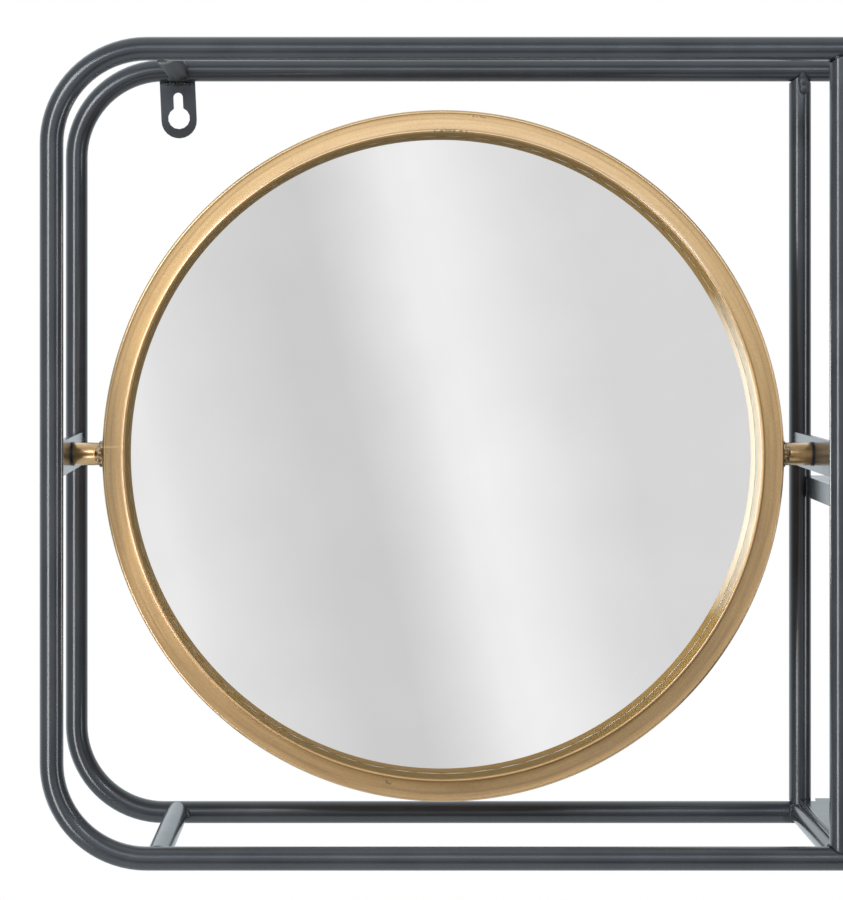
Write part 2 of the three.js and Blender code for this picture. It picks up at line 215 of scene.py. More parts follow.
def light_panel(name, azimuth, elevation, distance, width, height, radiance):
    """An area light that faces the rack, placed by its direction from it, as bright as radiance says."""
    turn, rise = math.radians(azimuth), math.radians(elevation)
    away = Vector((math.sin(turn) * math.cos(rise), -math.cos(turn) * math.cos(rise), math.sin(rise)))
    data = bpy.data.lights.new(name, "AREA")
    data.shape = "RECTANGLE"
    data.size = width
    data.size_y = height
    data.energy = radiance * math.pi * width * height
    lamp = bpy.data.objects.new(name, data)
    bpy.context.scene.collection.objects.link(lamp)
    lamp.location = aim + away * distance
    lamp.rotation_euler = away.to_track_quat("Z", "Y").to_euler()


# Direction round and above the rack in degrees, then distance, width and height in metres, and radiance.
panels = [
    ("left_panel", -36, 0, 1.3, 0.24, 1.5, 13.0),
    ("right_panel", 56, 0, 1.7, 0.26, 1.5, 8.0),
    ("upper_panel", 0, 21, 1.7, 1.6, 0.2, 20.0),
    ("overhead_panel", 0, 80, 1.5, 1.4, 1.0, 0.6),
    ("lower_panel", 0, -9, 1.7, 1.6, 0.25, 1.3),
]
for panel in panels:
    light_panel(*panel)
bpy.data.lights["upper_panel"].color = linear("#e2f0ff")[:3]
print("lights:", len(bpy.data.lights))

# %% [markdown]
# ## What the mirror sees
# A mirror is only as bright as what faces it. Here that is a big soft card behind the camera, whose
# brightness runs in leaning bands, so the glass gets its soft bands from a real reflection.

# %% Card behind the camera
card_gap = 10 * MM  # from the lens back to the card
card_shift = 0.1  # how far the card's middle lies to the right of the lens and above it
bpy.ops.object.select_all(action="DESELECT")
bpy.ops.mesh.primitive_plane_add(
    size=1.0,
    location=(camera.location.x + card_shift, camera.location.y - card_gap, camera.location.z + card_shift),
    rotation=(math.pi / 2, 0, 0),
)
card = bpy.context.object
card.name = "reflection_card"
bpy.ops.object.transform_apply(location=True, rotation=True, scale=True)
card.visible_camera = False
card.visible_shadow = False
card.visible_diffuse = False
print("card", [round(v, 2) for v in card.dimensions])

# %% Bands on the card
# Each band is a place across the card in millimetres and a grey from 0 to 255.
bands = [
    (-330, 233), (-300, 225), (-270, 220), (-240, 215), (-210, 211), (-165, 206), (-120, 205), (-90, 214),
    (-60, 225), (-30, 236), (0, 239), (30, 236), (60, 231), (90, 224), (120, 219), (150, 215),
]
band_lean = 0.228  # how far a band runs sideways for each step up
band_offset = -0.1239
band_stretch = 1.058
span_start, span_end = -0.36, 0.24
card_glow = bpy.data.materials.new("card_glow")
card_glow.use_nodes = True
tree = card_glow.node_tree
tree.nodes.clear()
place = add(tree, "TexCoord")
axes = add(tree, "SeparateXYZ", links={0: place.outputs["Object"]})
from_lens = band_offset - camera.location.x - band_lean * camera.location.z
lean = add(
    tree, "Math", {"operation": "MULTIPLY_ADD", 1: band_lean, 2: from_lens}, {0: axes.outputs["Z"]}
)
across = add(tree, "Math", {"operation": "ADD"}, {0: axes.outputs["X"], 1: lean.outputs[0]})
span = add(tree, "MapRange", {"From Min": span_start, "From Max": span_end}, {"Value": across.outputs[0]})
span_width = span_end - span_start
stops = [((u * band_stretch * MM - span_start) / span_width, grey(level)) for u, level in bands]
shade = add(tree, "ValToRGB", {"stops": stops}, {0: span.outputs[0]})
shine = add(tree, "Emission", {"Strength": 1.1}, {"Color": shade.outputs[0]})
add(tree, "OutputMaterial", links={"Surface": shine.outputs[0]})
card.data.materials.append(card_glow)
print("bands:", len(bands))

# %% [markdown]
# ## Floor
# The room's floor is far below the rack and out of the picture, and throws a little soft light up. A
# large plane with a mottled plaster finish is enough.

# %% Floor
bpy.ops.object.select_all(action="DESELECT")
floor_height = -1.4
bpy.ops.mesh.primitive_plane_add(size=3, location=(0, 0, floor_height))
floor = bpy.context.object
floor.name = "floor"
plaster = bpy.data.materials.new("pale_plaster")
plaster.use_nodes = True
tree = plaster.node_tree
tree.nodes.clear()
place = add(tree, "TexCoord").outputs["Object"]
mottle = add(tree, "TexNoise", {"Scale": 1 / 0.12, "Detail": 5.0}, {"Vector": place})
tone = add(tree, "ValToRGB", {"stops": [(0.3, "#dcdcda"), (0.7, "#e6e6e4")]}, {0: mottle.outputs["Fac"]})
matt = add(tree, "BsdfPrincipled", {"Roughness": 0.85}, {"Base Color": tone.outputs[0]})
add(tree, "OutputMaterial", links={0: matt.outputs[0]})
floor.data.materials.append(plaster)
print("floor", [round(v, 2) for v in floor.dimensions])


# %% [markdown]
# ## Finishes
# The rack is stoved enamel on steel, the mirror's ring is gold lacquer brushed round the hoop, and the
# rest is plain hardware. Each finish is one material, and its pattern is sized in real millimetres. All
# of them read a piece's own coordinates in metres, so a pattern's scale is one over the size of its
# cells.


# %% Start of a material
def new_finish(name, slot):
    """An empty material, its node tree and its coordinates, with the record's slot that it stands for."""
    material = bpy.data.materials.new(name)
    material.use_nodes = True
    material.node_tree.nodes.clear()
    material["slot"] = slot
    place = add(material.node_tree, "TexCoord").outputs["Object"]
    return material, material.node_tree, place


# %% [markdown]
# ## Slate stoving enamel
# The tubes were dipped or sprayed and baked, which gives a smooth, half glossy paint over steel. It is a
# dielectric with an IOR of 1.5. The eye sees faint orange peel, a slow waviness of the tube that makes
# its highlights wander, and cloudy shades a little apart.

# %% Slate stoving enamel
slate_enamel, tree, place = new_finish("slate_stoving_enamel", "rack_paint")
cloud = add(tree, "TexNoise", {"Scale": 1 / 0.025, "Detail": 4.0}, {"Vector": place})
tone = add(tree, "ValToRGB", {"stops": [(0.3, "#25272a"), (0.7, "#2c2e31")]}, {0: cloud.outputs["Fac"]})
peel = add(tree, "TexNoise", {"Scale": 1 / 0.0016, "Detail": 2.0}, {"Vector": place})
peel_bump = add(tree, "Bump", {"Strength": 0.5, "Distance": 0.00001}, {"Height": peel.outputs["Fac"]})
wave = add(tree, "TexNoise", {"Scale": 1 / 0.02, "Detail": 1.0}, {"Vector": place})
wave_bump = add(
    tree,
    "Bump",
    {"Strength": 1.0, "Distance": 0.00017},
    {"Height": wave.outputs["Fac"], "Normal": peel_bump.outputs[0]},
)
gloss = add(tree, "MapRange", {"To Min": 0.17, "To Max": 0.25}, {"Value": cloud.outputs["Fac"]})
print("nodes:", len(tree.nodes))

# %% [markdown]
# Where the paint went over a scorched weld it stayed dull and sooty. The first spot covers the whole top
# left cross tube, and its darker colour there is painted shade. Each such spot is a soft ellipsoid in the
# pattern: the distance from its middle, measured in its own half sizes, falls below one inside it.

# %% Dull spots on the enamel
# Middle and half sizes along X, Y and Z, in millimetres, and strength.
dull_spots = [
    # The first spot, over the whole top left cross tube, is painted shade in its colour.
    ((-262, -62, 9), (11, 68, 13), 1.0),
    ((80, -13, 6), (4, 4, 8), 0.45),
    ((80, -139, 11), (4, 4, 3), 0.4),
    ((79, -139, -390), (4, 4, 4), 0.4),
    ((73, -12, -394), (5, 6, 7), 0.5),
]
dullness = 0.0
for middle, half, strength in dull_spots:
    middle = tuple(v * MM for v in middle)
    half = tuple(v * MM for v in half)
    off = add(tree, "VectorMath", {"operation": "SUBTRACT", 1: middle}, {0: place})
    scaled = add(tree, "VectorMath", {"operation": "DIVIDE", 1: half}, {0: off.outputs[0]})
    far = add(tree, "VectorMath", {"operation": "LENGTH"}, {0: scaled.outputs[0]})
    inside = add(
        tree,
        "MapRange",
        {"From Min": 1.0, "From Max": 0.7, "To Max": strength},
        {"Value": far.outputs["Value"]},
    )
    spot = add(tree, "Math", {"operation": "MAXIMUM", 1: 0.0}, {0: inside.outputs[0]})
    if dullness:
        tree.links.new(dullness, spot.inputs[1])
    dullness = spot.outputs[0]
dull_gloss = add(
    tree, "Mix", {"data_type": "FLOAT", "B": 0.62}, {"Factor": dullness, "A": gloss.outputs[0]}
)
sheen = add(tree, "MapRange", {"To Min": 0.5, "To Max": 0.2}, {"Value": dullness})
# The darker colour is soot at the welds and painted shade over the top left cross tube.
soot_and_painted_shade = add(
    tree, "Mix", {"data_type": "RGBA", 7: linear("#1d1c1d")}, {"Factor": dullness, 6: tone.outputs[0]}
)
paint = add(
    tree,
    "BsdfPrincipled",
    {"IOR": 1.5},
    {
        "Base Color": soot_and_painted_shade.outputs[2],
        "Roughness": dull_gloss.outputs[0],
        "Specular IOR Level": sheen.outputs[0],
        "Normal": wave_bump.outputs[0],
    },
)
add(tree, "OutputMaterial", links={0: paint.outputs[0]})
print("dull spots:", len(dull_spots))

# %% [markdown]
# ## Satin gold lacquer
# The ring was rolled from steel channel, welded shut on its left, and sprayed with a gold lacquer that
# holds metal flakes. It is nearly a metal, with a clear coat, and its pattern runs round the hoop. So its
# nodes first turn a place into a radius and an angle about the pivot, on the leaning and slightly oval
# hoop.

# %% Places round the hoop
gold_lacquer, tree, place = new_finish("satin_gold_lacquer", "gold_paint")
rest_tilt = math.radians(1.9)
ring_oval = 1.013  # the hoop is this much taller than it is wide
centred = add(tree, "VectorMath", {"operation": "SUBTRACT", 1: tuple(pivot)}, {0: place})
upright = add(
    tree, "VectorRotate", {"rotation_type": "X_AXIS", "Angle": rest_tilt}, {"Vector": centred.outputs[0]}
)
unoval = (1, 1, 1 / ring_oval)
hoop = add(tree, "VectorMath", {"operation": "MULTIPLY", 1: unoval}, {0: upright.outputs[0]})
axes = add(tree, "SeparateXYZ", links={0: hoop.outputs[0]})
flat = add(tree, "VectorMath", {"operation": "MULTIPLY", 1: (1, 0, 1)}, {0: hoop.outputs[0]})
radius = add(tree, "VectorMath", {"operation": "LENGTH"}, {0: flat.outputs[0]}).outputs["Value"]
turn = add(tree, "Math", {"operation": "ARCTAN2"}, {0: axes.outputs["Z"], 1: axes.outputs["X"]})
swept = add(tree, "CombineXYZ", links={0: turn.outputs[0], 1: radius, 2: axes.outputs["Y"]})
print("pivot", [round(v, 4) for v in pivot], "lean", round(rest_tilt, 4))

# %% [markdown]
# The lacquer's tone is brush strokes, long round the hoop and 1.6 mm across, mixed with flakes of 1.1 mm.
# Real flakes are far finer, too fine to show, so these are drawn as coarse as they need to be.

# %% Strokes and flakes
stroke_sizes = (5, 1 / 0.0016, 1 / 0.0016)
stretched = add(tree, "VectorMath", {"operation": "MULTIPLY", 1: stroke_sizes}, {0: swept.outputs[0]})
strokes = add(tree, "TexNoise", {"Scale": 1.0, "Detail": 3.0}, {"Vector": stretched.outputs[0]})
flake = add(tree, "TexNoise", {"Scale": 1 / 0.0011, "Detail": 2.0}, {"Vector": place})
mixed = add(
    tree,
    "Mix",
    {"data_type": "FLOAT", "Factor": 0.4},
    {"A": strokes.outputs["Fac"], "B": flake.outputs["Fac"]},
)
tone = add(tree, "ValToRGB", {"stops": [(0.25, "#a87f46"), (0.75, "#c39c62")]}, {0: mixed.outputs[0]})
print("nodes:", len(tree.nodes))

# %% [markdown]
# Pale lines along both rims are painted highlights, and the brown lines beside them are painted shade. The
# faint darker band along the middle of the rolled face is painted shade too. All of them depend on the
# radius alone, so colour ramps across the face give them.

# %% Rims and grooves, with painted highlight and shade
# Each stop is a radius in millimetres and a colour that multiplies the tone, with painted highlight and
# shade, or a share of pale gold as a painted highlight.
face_start, face_end = 165, 179
rim_light_and_shade = [
    (165.8, "#cbbfa6"), (167.0, "#cbbfa6"), (167.3, "#e8e8e8"), (167.8, "#b0a590"), (168.3, "#d2d2d2"),
    (172.6, "#d2d2d2"), (173.5, "#c0bfba"), (174.3, "#d2d2d2"), (175.8, "#d2d2d2"), (176.3, "#b0a590"),
    (176.8, "#e8e8e8"), (178.5, "#e8e8e8"), (178.8, "#ffffff"),
]
rim_highlight_shares = [
    (166.9, 0.0), (167.3, 0.35), (167.6, 0.0), (176.5, 0.0), (176.9, 0.3), (177.8, 0.3), (177.95, 0.0),
]
rim_span = add(
    tree, "MapRange", {"From Min": face_start * MM, "From Max": face_end * MM}, {"Value": radius}
)
face_width = face_end - face_start
painted_rim_stops = [((r - face_start) / face_width, colour) for r, colour in rim_light_and_shade]
painted_rim_light = add(tree, "ValToRGB", {"stops": painted_rim_stops}, {0: rim_span.outputs[0]})
# The rim ramp multiplies in painted highlight and painted shade.
tone = add(
    tree,
    "Mix",
    {"data_type": "RGBA", "blend_type": "MULTIPLY", "Factor": 1.0},
    {6: tone.outputs[0], 7: painted_rim_light.outputs[0]},
)
rim_highlight_stops = [((r - face_start) / face_width, grey(int(255 * share))) for r, share in rim_highlight_shares]
rim_highlight_ramp = add(tree, "ValToRGB", {"stops": rim_highlight_stops}, {0: rim_span.outputs[0]})
# Pale gold near both rims is a painted highlight.
tone = add(
    tree,
    "Mix",
    {"data_type": "RGBA", 7: linear("#fbeccb")},
    {"Factor": rim_highlight_ramp.outputs[0], 6: tone.outputs[2]},
)
print("stops across the face:", len(rim_light_and_shade), "and", len(rim_highlight_shares))

# %% [markdown]
# The hoop's inner wall caught little spray, so it is dry, with no clear coat, and its grazing shine is
# brown. Its colour is a darker brown nearly all the way round as painted shade, and pale on the right as a
# painted reflection.

# %% Inner wall
reflection_side_mask = add(tree, "MapRange", {"From Min": 142 * MM, "From Max": 161 * MM}, {"Value": axes.outputs["X"]})
on_wall = add(tree, "MapRange", {"From Min": 166.6 * MM, "From Max": 166.3 * MM}, {"Value": radius})
shade_side_mask = add(tree, "Math", {"operation": "SUBTRACT", 0: 1.0}, {1: reflection_side_mask.outputs[0]})
dry_and_shaded_wall = add(tree, "Math", {"operation": "MULTIPLY"}, {0: shade_side_mask.outputs[0], 1: on_wall.outputs[0]})
painted_reflection_wall = add(tree, "Math", {"operation": "MULTIPLY"}, {0: reflection_side_mask.outputs[0], 1: on_wall.outputs[0]})
dry_and_shaded_share = add(tree, "Math", {"operation": "MULTIPLY", 1: 0.93}, {0: dry_and_shaded_wall.outputs[0]})
# Darker brown is painted shade on most of the wall, and pale is a painted reflection on the right.
for share, shade in ((dry_and_shaded_share, "#8a7450"), (painted_reflection_wall, "#d9c49a")):
    tone = add(
        tree,
        "Mix",
        {"data_type": "RGBA", 7: linear(shade)},
        {"Factor": share.outputs[0], 6: tone.outputs[2]},
    )
clear_coat = add(tree, "Math", {"operation": "SUBTRACT", 0: 1.0}, {1: dry_and_shaded_wall.outputs[0]})
edge_tint = add(
    tree,
    "Mix",
    {"data_type": "RGBA", 6: (1, 1, 1, 1), 7: linear("#a8936c")},
    {"Factor": dry_and_shaded_wall.outputs[0]},
)
print("nodes:", len(tree.nodes))

# %% [markdown]
# Three scuffs on the face show brown, and so does a darker band at each stub. A scuff is a box in X and
# radius with its edge broken by a grit noise. The band runs across X, over the place where the stub meets
# the ring.

# %% Scuffs, and a darker band at the stubs
# Place along X, radius, half sizes along both, all in millimetres, and the upper (1) or lower (-1) half.
scuffs = [
    (4.5, 167.3, 13.0, 1.1, 1),
    (18.5, 175.4, 8.0, 0.6, 1),
    (-29.1, 170.6, 1.8, 1.6, -1),
]
# The band at each stub is a darker brown across X, over the stub's foot and its weld.
stub_band_x, stub_band_half = 180.5, 2.4
grit = add(tree, "TexNoise", {"Scale": 1 / 0.0014, "Detail": 3.0}, {"Vector": place})


def spread(coordinate, middle, half):
    """How far a coordinate is from a middle, in half sizes, both in millimetres."""
    off = add(tree, "Math", {"operation": "SUBTRACT", 1: middle * MM}, {0: coordinate})
    far = add(tree, "Math", {"operation": "ABSOLUTE"}, {0: off.outputs[0]})
    return add(tree, "Math", {"operation": "DIVIDE", 1: half * MM}, {0: far.outputs[0]}).outputs[0]


sideways = add(tree, "Math", {"operation": "ABSOLUTE"}, {0: axes.outputs["X"]})
nearest = spread(sideways.outputs[0], stub_band_x, stub_band_half)
for x, r, half_x, half_r, side in scuffs:
    share_x = spread(axes.outputs["X"], x, half_x)
    share_r = spread(radius, r, half_r)
    share = add(tree, "Math", {"operation": "MAXIMUM"}, {0: share_x, 1: share_r})
    other_half = add(tree, "Math", {"operation": "MULTIPLY", 1: -100.0 * side}, {0: axes.outputs["Z"]})
    spot = add(tree, "Math", {"operation": "MAXIMUM"}, {0: share.outputs[0], 1: other_half.outputs[0]})
    nearest = add(tree, "Math", {"operation": "MINIMUM"}, {0: spot.outputs[0], 1: nearest}).outputs[0]
ragged = add(tree, "Math", {"operation": "MULTIPLY_ADD", 1: 3.4, 2: -1.45}, {0: grit.outputs["Fac"]})
bare = add(tree, "Math", {"operation": "ADD"}, {0: nearest, 1: ragged.outputs[0]})
worn = add(
    tree,
    "MapRange",
    {"From Min": 0.55, "From Max": 0.75, "To Min": 0.85, "To Max": 0.0},
    {"Value": bare.outputs[0]},
)
colour = add(
    tree,
    "Mix",
    {"data_type": "RGBA", 7: linear("#5d4522")},
    {"Factor": worn.outputs[0], 6: tone.outputs[2]},
)
print("scuffs:", len(scuffs))

# %% [markdown]
# The flakes raise the face by a few hundredths of a millimetre, and the filed butt weld on the left
# stands a quarter of a millimetre proud below its line. Both are too shallow to model, so they are bumps.

# %% Relief and shine of the gold
on_face = add(
    tree,
    "MapRange",
    {"From Min": 167.2 * MM, "From Max": 168.4 * MM, "To Min": 0.0, "To Max": 0.5},
    {"Value": radius},
)
flake_bump = add(
    tree, "Bump", {"Distance": 0.00003}, {"Strength": on_face.outputs[0], "Height": mixed.outputs[0]}
)
seam_edge, seam_foot = 4.4 * MM, 3.4 * MM
seam = add(
    tree,
    "MapRange",
    {"interpolation_type": "SMOOTHSTEP", "From Min": seam_edge, "From Max": seam_foot},
    {"Value": axes.outputs["Z"]},
)
left_half = add(tree, "Math", {"operation": "LESS_THAN", 1: 0.0}, {0: axes.outputs["X"]})
seam = add(tree, "Math", {"operation": "MULTIPLY"}, {0: seam.outputs[0], 1: left_half.outputs[0]})
seam_bump = add(
    tree,
    "Bump",
    {"Strength": 1.0, "Distance": 0.00025},
    {"Height": seam.outputs[0], "Normal": flake_bump.outputs[0]},
)
gloss = add(tree, "MapRange", {"To Min": 0.3, "To Max": 0.44}, {"Value": strokes.outputs["Fac"]})
gloss = add(
    tree, "Mix", {"data_type": "FLOAT", "B": 0.5}, {"Factor": on_wall.outputs[0], "A": gloss.outputs[0]}
)
paint = add(
    tree,
    "BsdfPrincipled",
    {"Metallic": 0.85, "Coat Roughness": 0.2, "Coat IOR": 1.7},
    {
        "Base Color": colour.outputs[2],
        "Roughness": gloss.outputs[0],
        "Normal": seam_bump.outputs[0],
        "Coat Weight": clear_coat.outputs[0],
        "Specular Tint": edge_tint.outputs[2],
    },
)
add(tree, "OutputMaterial", links={0: paint.outputs[0]})
print("gold nodes:", len(tree.nodes))

# %% [markdown]
# ## Silvered float glass
# Float glass is flat and its back is silvered, so the pane is a metal that reflects almost all of the
# light. Handling leaves a haze that is only just there: the colour and roughness vary a very little over
# 6 cm.

# %% Silvered glass
mirror_silver, tree, place = new_finish("silvered_float_glass", "silvered_glass")
haze = add(tree, "TexNoise", {"Scale": 1 / 0.06, "Detail": 3.0}, {"Vector": place})
tone = add(tree, "ValToRGB", {"stops": [(0.3, "#f1f1f1"), (0.7, "#f6f6f6")]}, {0: haze.outputs["Fac"]})
smear = add(tree, "MapRange", {"To Min": 0.0, "To Max": 0.03}, {"Value": haze.outputs["Fac"]})
silver = add(
    tree,
    "BsdfPrincipled",
    {"Metallic": 1.0},
    {"Base Color": tone.outputs[0], "Roughness": smear.outputs[0]},
)
add(tree, "OutputMaterial", links={0: silver.outputs[0]})
print("silver nodes:", len(tree.nodes))

# %% [markdown]
# ## Hardware finishes
# The screws, clips and spring washers are steel with bright zinc plate, a metal whose cloudy shades come
# from the bath. The friction washers are black nylon, a dull plastic with an IOR of 1.53.

# %% Bright zinc plate
zinc, tree, place = new_finish("bright_zinc_plate", "zinc_plate")
cloud = add(tree, "TexNoise", {"Scale": 1 / 0.003, "Detail": 3.0}, {"Vector": place})
tone = add(tree, "ValToRGB", {"stops": [(0.3, "#a9adae"), (0.7, "#c6c9c8")]}, {0: cloud.outputs["Fac"]})
gloss = add(tree, "MapRange", {"To Min": 0.25, "To Max": 0.45}, {"Value": cloud.outputs["Fac"]})
plate = add(
    tree,
    "BsdfPrincipled",
    {"Metallic": 1.0},
    {"Base Color": tone.outputs[0], "Roughness": gloss.outputs[0]},
)
add(tree, "OutputMaterial", links={0: plate.outputs[0]})

# %% Black nylon
nylon, tree, place = new_finish("black_nylon", "washer_nylon")
cloud = add(tree, "TexNoise", {"Scale": 1 / 0.001, "Detail": 2.0}, {"Vector": place})
tone = add(tree, "ValToRGB", {"stops": [(0.3, "#141313"), (0.7, "#1f1d1c")]}, {0: cloud.outputs["Fac"]})
plastic = add(tree, "BsdfPrincipled", {"Roughness": 0.5, "IOR": 1.53}, {"Base Color": tone.outputs[0]})
add(tree, "OutputMaterial", links={0: plastic.outputs[0]})
print("hardware finishes:", zinc.name, nylon.name)

# %% [markdown]
# The glazing tape is closed cell foam with small pits, and the backing is pressed hardboard: brown fibre
# with the weave of the press screen on it. Neither shines, so both are rough and their relief is a bump.

# %% Closed cell foam
foam, tree, place = new_finish("closed_cell_foam", "foam_tape")
cells = add(tree, "TexVoronoi", {"Scale": 1 / 0.0006}, {"Vector": place})
tone = add(
    tree, "ValToRGB", {"stops": [(0.0, "#c9c5b9"), (0.6, "#e6e2d8")]}, {0: cells.outputs["Distance"]}
)
pits = add(tree, "Bump", {"Strength": 0.5, "Distance": 0.0001}, {"Height": cells.outputs["Distance"]})
rubber = add(
    tree,
    "BsdfPrincipled",
    {"Roughness": 0.8},
    {"Base Color": tone.outputs[0], "Normal": pits.outputs[0]},
)
add(tree, "OutputMaterial", links={0: rubber.outputs[0]})

# %% Pressed hardboard
board_brown, tree, place = new_finish("pressed_hardboard", "hardboard")
fibre = add(tree, "TexNoise", {"Scale": 1 / 0.004, "Detail": 8.0, "Roughness": 0.7}, {"Vector": place})
tone = add(
    tree,
    "ValToRGB",
    {"stops": [(0.3, "#6d4a2e"), (0.5, "#86603f"), (0.7, "#9c7550")]},
    {0: fibre.outputs["Fac"]},
)
weave = add(tree, "TexVoronoi", {"Scale": 1 / 0.0015}, {"Vector": place})
relief = add(tree, "Bump", {"Strength": 0.4, "Distance": 0.0002}, {"Height": weave.outputs["Distance"]})
wood = add(
    tree,
    "BsdfPrincipled",
    {"Roughness": 0.72},
    {"Base Color": tone.outputs[0], "Normal": relief.outputs[0]},
)
add(tree, "OutputMaterial", links={0: wood.outputs[0]})
print("finishes:", [m.name for m in bpy.data.materials if "slot" in m])

# %% [markdown]
# ## How the pieces are made
# Each piece starts as one primitive and is shaped in edit mode, as by hand. A few helpers keep that short:
# begin opens a new primitive, grow extrudes it, modify applies a modifier, and complete closes the piece.


# %% Helpers for modelling
def begin(primitive, **where):
    """Deselect everything, add a primitive and open it in edit mode."""
    bpy.ops.object.select_all(action="DESELECT")
    primitive(**where)
    bpy.ops.object.mode_set(mode="EDIT")
    return bpy.context.object


def modify(piece, kind, **settings):
    """Add a modifier, give it its settings and apply it."""
    if piece.mode == "EDIT":
        bpy.ops.object.mode_set(mode="OBJECT")
    modifier = piece.modifiers.new(kind.lower(), kind)
    for name, value in settings.items():
        setattr(modifier, name, value)
    bpy.ops.object.modifier_apply(modifier=modifier.name)


def settle(piece):
    """Leave edit mode, and put a piece's place, turn and size into its mesh."""
    if piece.mode == "EDIT":
        bpy.ops.object.mode_set(mode="OBJECT")
    bpy.ops.object.transform_apply(location=True, rotation=True, scale=True)


def complete(piece, name, body, finish, stands_for=(), smooth=40):
    """Close a piece: settled mesh, name, smooth shading, finish, body, and the nodes it stands for."""
    settle(piece)
    piece.name = name
    piece.data.name = name
    bpy.ops.object.shade_smooth_by_angle(angle=math.radians(smooth))
    piece.data.materials.clear()
    piece.data.materials.append(finish)
    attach(piece, body)
    if stands_for:
        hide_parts(*stands_for)


def grow(*offset):
    """Extrude what is selected along an offset."""
    bpy.ops.mesh.extrude_region_move(TRANSFORM_OT_translate={"value": offset})


def face_outwards():
    """Merge doubled points, then turn every face outwards."""
    bpy.ops.mesh.select_all(action="SELECT")
    bpy.ops.mesh.remove_doubles(threshold=0.001 * MM)
    bpy.ops.mesh.normals_make_consistent(inside=False)


print("helpers: begin, modify, settle, complete, grow, face_outwards")

# %% [markdown]
# ## Bent loops
# Each loop is one tube bent round four corners and butt welded half way up its left end. A bender draws
# the tube round a former, and spinning a ring of points about the corner's centre does the same.

# %% Loops
TUBE_SIDES = 48
BEND_STEPS = 20
bend_radius = 48 * MM
seam_z = middle_z - 3 * MM  # the height of the butt weld, where the tube's ends meet


def bent_loop(node, name, y):
    """Lead a circle round the loop: straight run, quarter turn, four times, back to its start."""
    tube = begin(
        bpy.ops.mesh.primitive_circle_add,
        vertices=TUBE_SIDES,
        radius=tube_radius,
        location=(left_x, y, seam_z),
    )
    low, high = bottom_z + bend_radius, top_z - bend_radius
    near, far = left_x + bend_radius, right_x - bend_radius
    runs = [
        ((0, 0, high - seam_z), (near, y, high)),
        ((far - near, 0, 0), (far, y, high)),
        ((0, 0, low - high), (far, y, low)),
        ((near - far, 0, 0), (near, y, low)),
    ]
    for run, centre in runs:
        grow(*run)
        bpy.ops.mesh.spin(steps=BEND_STEPS, angle=-math.pi / 2, center=centre, axis=(0, 1, 0))
    grow(0, 0, seam_z - low)
    face_outwards()
    complete(tube, name, "rack", slate_enamel, [node])
    print(name, "faces", len(tube.data.polygons), "box", [round(v, 4) for v in tube.dimensions])


bent_loop("front_loop_tube", "front_loop_painted", front_y)
bent_loop("rear_loop_tube", "rear_loop_painted", rear_y)
print("loop size in the frame", [round(v, 4) for v in (loop_high - loop_low)])

# %% [markdown]
# ## Coped tubes
# The uprights and cross tubes are cut to fit against the rails, with a loose cope that leaves a dark gap
# beside each weld. A boolean cut with a slightly fatter tube does what a hole saw does on the real one.


# %% Straight tubes with coped ends
tube_wall = 1.2 * MM
cutter_length = 60 * MM


def straight_tube(node, start, end, gaps, name):
    """A hollow tube between two rail centres, its ends cut by a bar a little wider than the rail."""
    start, end = Vector(start), Vector(end)
    along = end - start
    lying = along.to_track_quat("Z", "Y").to_euler()
    tube = begin(
        bpy.ops.mesh.primitive_cylinder_add,
        vertices=TUBE_SIDES,
        radius=tube_radius,
        depth=along.length,
        location=(start + end) / 2,
        rotation=lying,
        end_fill_type="NOTHING",
    )
    settle(tube)
    modify(tube, "SOLIDIFY", thickness=tube_wall, offset=-1)
    for place, gap in ((start, gaps[0]), (end, gaps[1])):
        cutter = begin(
            bpy.ops.mesh.primitive_cylinder_add,
            vertices=96,
            radius=tube_radius + gap * MM,
            depth=cutter_length,
            location=place,
            rotation=(0, math.pi / 2, 0),
        )
        bpy.ops.object.mode_set(mode="OBJECT")
        bpy.ops.object.select_all(action="DESELECT")
        tube.select_set(True)
        bpy.context.view_layer.objects.active = tube
        modify(tube, "BOOLEAN", operation="DIFFERENCE", solver="EXACT", object=cutter)
        bpy.data.objects.remove(cutter)
    complete(tube, name, "rack", slate_enamel, [node])


def middle_of(node):
    """The middle of a node's box."""
    low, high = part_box(node)
    return (low + high) / 2


# Gaps are in millimetres, at the lower or front end and at the upper or rear end.
upright_x = middle_of("front_upright").x
for node, y, gaps in (("front_upright", front_y, (1.0, 1.5)), ("rear_upright", rear_y, (0.6, 1.1))):
    straight_tube(node, (upright_x, y, bottom_z), (upright_x, y, top_z), gaps, node + "_painted")
cross_gaps = (0.5, 0.3)
bottom_left_skew = -2.5 * MM  # this tube was welded a little askew, its front end to the left
for place in ("top_left", "top_right", "bottom_left", "bottom_right", "bottom_middle"):
    node = "cross_tube_" + place
    z = top_z if place.startswith("top") else bottom_z
    x = middle_of(node).x
    skew = bottom_left_skew if place == "bottom_left" else 0
    straight_tube(node, (x + skew, front_y, z), (x, rear_y, z), cross_gaps, node + "_painted")

# %% [markdown]
# ## The mirror's ring
# The ring is a square channel rolled into a hoop: flat face, rounded corners, hollow behind. Its face is
# dished by the rolling, which shows as bands. The outline is led round the hoop by a full spin.

# %% Rounded corner of the section
CORNER = 1.2
CORNER_STEPS = 6


def corner(centre_radius, centre_y, start):
    """Points of a quarter round in the ring's section, from one angle on by ninety degrees."""
    angles = [math.radians(start + 90 * step / CORNER_STEPS) for step in range(CORNER_STEPS + 1)]
    return [(centre_radius + CORNER * math.cos(a), centre_y - CORNER * math.sin(a)) for a in angles]


print("corner points:", len(corner(0, 0, 0)))

# %% [markdown]
# The section is a list of places, each a radius and a depth in millimetres, from the back of the outer
# wall over the face to the inner wall and back inside. Depth runs from minus 15 at the face to 15 at the
# back. The small steps on the face are the shallow grooves that catch the light. The hoop is made round the
# origin, then hung on the pivot and leant back.

